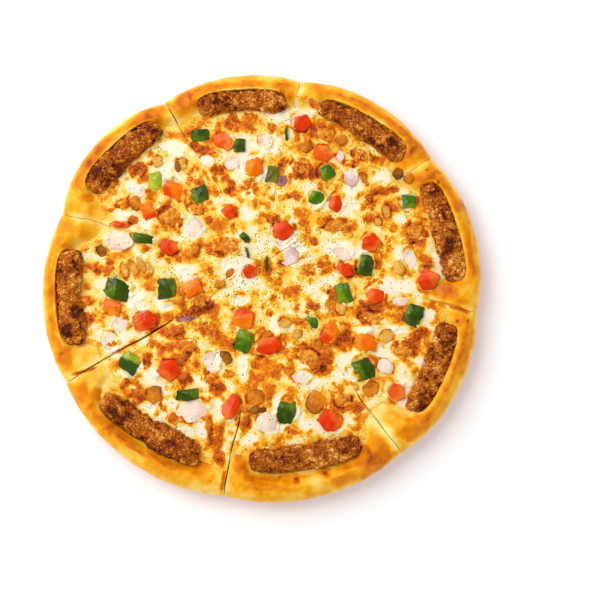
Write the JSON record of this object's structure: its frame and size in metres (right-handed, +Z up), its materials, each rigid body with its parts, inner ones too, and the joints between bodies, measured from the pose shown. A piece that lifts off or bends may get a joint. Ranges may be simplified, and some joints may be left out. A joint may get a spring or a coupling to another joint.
{
  "type": "pan pizza",
  "caption": "Pan pizza cut into wedges that still lie together, with kebabs bedded in its raised crust and diced peppers, onion, mushroom and chicken on melted cheese.",
  "frame": {"origin": "middle of the underside", "axes": "+Z up through the pizza; +X right and +Y away, as seen from above in the picture"},
  "size_m": [0.301, 0.2934, 0.0256],
  "materials": {
    "dough": "golden baked dough, satin",
    "cheese": "melted cheese with browned spots, semi-gloss",
    "kebab": "grilled minced meat, rough with fat gloss",
    "red_pepper": "moist diced red pepper, glossy",
    "orange_pepper": "moist diced orange pepper, glossy",
    "green_pepper": "moist diced green pepper, glossy",
    "onion": "soft cooked onion, glossy",
    "mushroom": "roasted mushroom, satin"
  },
  "bodies": {
    "root": {"dough_1": "dough", "dough_2": "dough", "dough_3": "dough", "dough_4": "dough", "dough_5": "dough", "dough_6": "dough", "dough_7": "dough", "dough_8": "dough", "cheese_1": "cheese", "cheese_2": "cheese", "cheese_3": "cheese", "cheese_4": "cheese", "cheese_5": "cheese", "cheese_6": "cheese", "cheese_7": "cheese", "cheese_8": "cheese", "kebab_1": "kebab", "kebab_2": "kebab", "kebab_3": "kebab", "kebab_4": "kebab", "kebab_5": "kebab", "kebab_6": "kebab", "kebab_7": "kebab", "kebab_8": "kebab", "red_pepper_01": "red_pepper", "red_pepper_02": "red_pepper", "red_pepper_03": "red_pepper", "red_pepper_04": "red_pepper", "red_pepper_05": "red_pepper", "red_pepper_06": "red_pepper", "red_pepper_07": "red_pepper", "red_pepper_08": "red_pepper", "red_pepper_09": "red_pepper", "red_pepper_10": "red_pepper", "red_pepper_11": "red_pepper", "red_pepper_12": "red_pepper", "red_pepper_13": "red_pepper", "red_pepper_14": "red_pepper", "orange_pepper_01": "orange_pepper", "orange_pepper_02": "orange_pepper", "orange_pepper_03": "orange_pepper", "orange_pepper_04": "orange_pepper", "green_pepper_01": "green_pepper", "green_pepper_02": "green_pepper", "green_pepper_03": "green_pepper", "green_pepper_04": "green_pepper", "green_pepper_05": "green_pepper", "green_pepper_06": "green_pepper", "green_pepper_07": "green_pepper", "green_pepper_08": "green_pepper", "green_pepper_09": "green_pepper", "green_pepper_10": "green_pepper", "green_pepper_11": "green_pepper", "green_pepper_12": "green_pepper", "onion_01": "onion", "onion_02": "onion", "onion_03": "onion", "onion_04": "onion", "onion_05": "onion", "mushroom_01": "mushroom"}
  },
  "joints": []
}
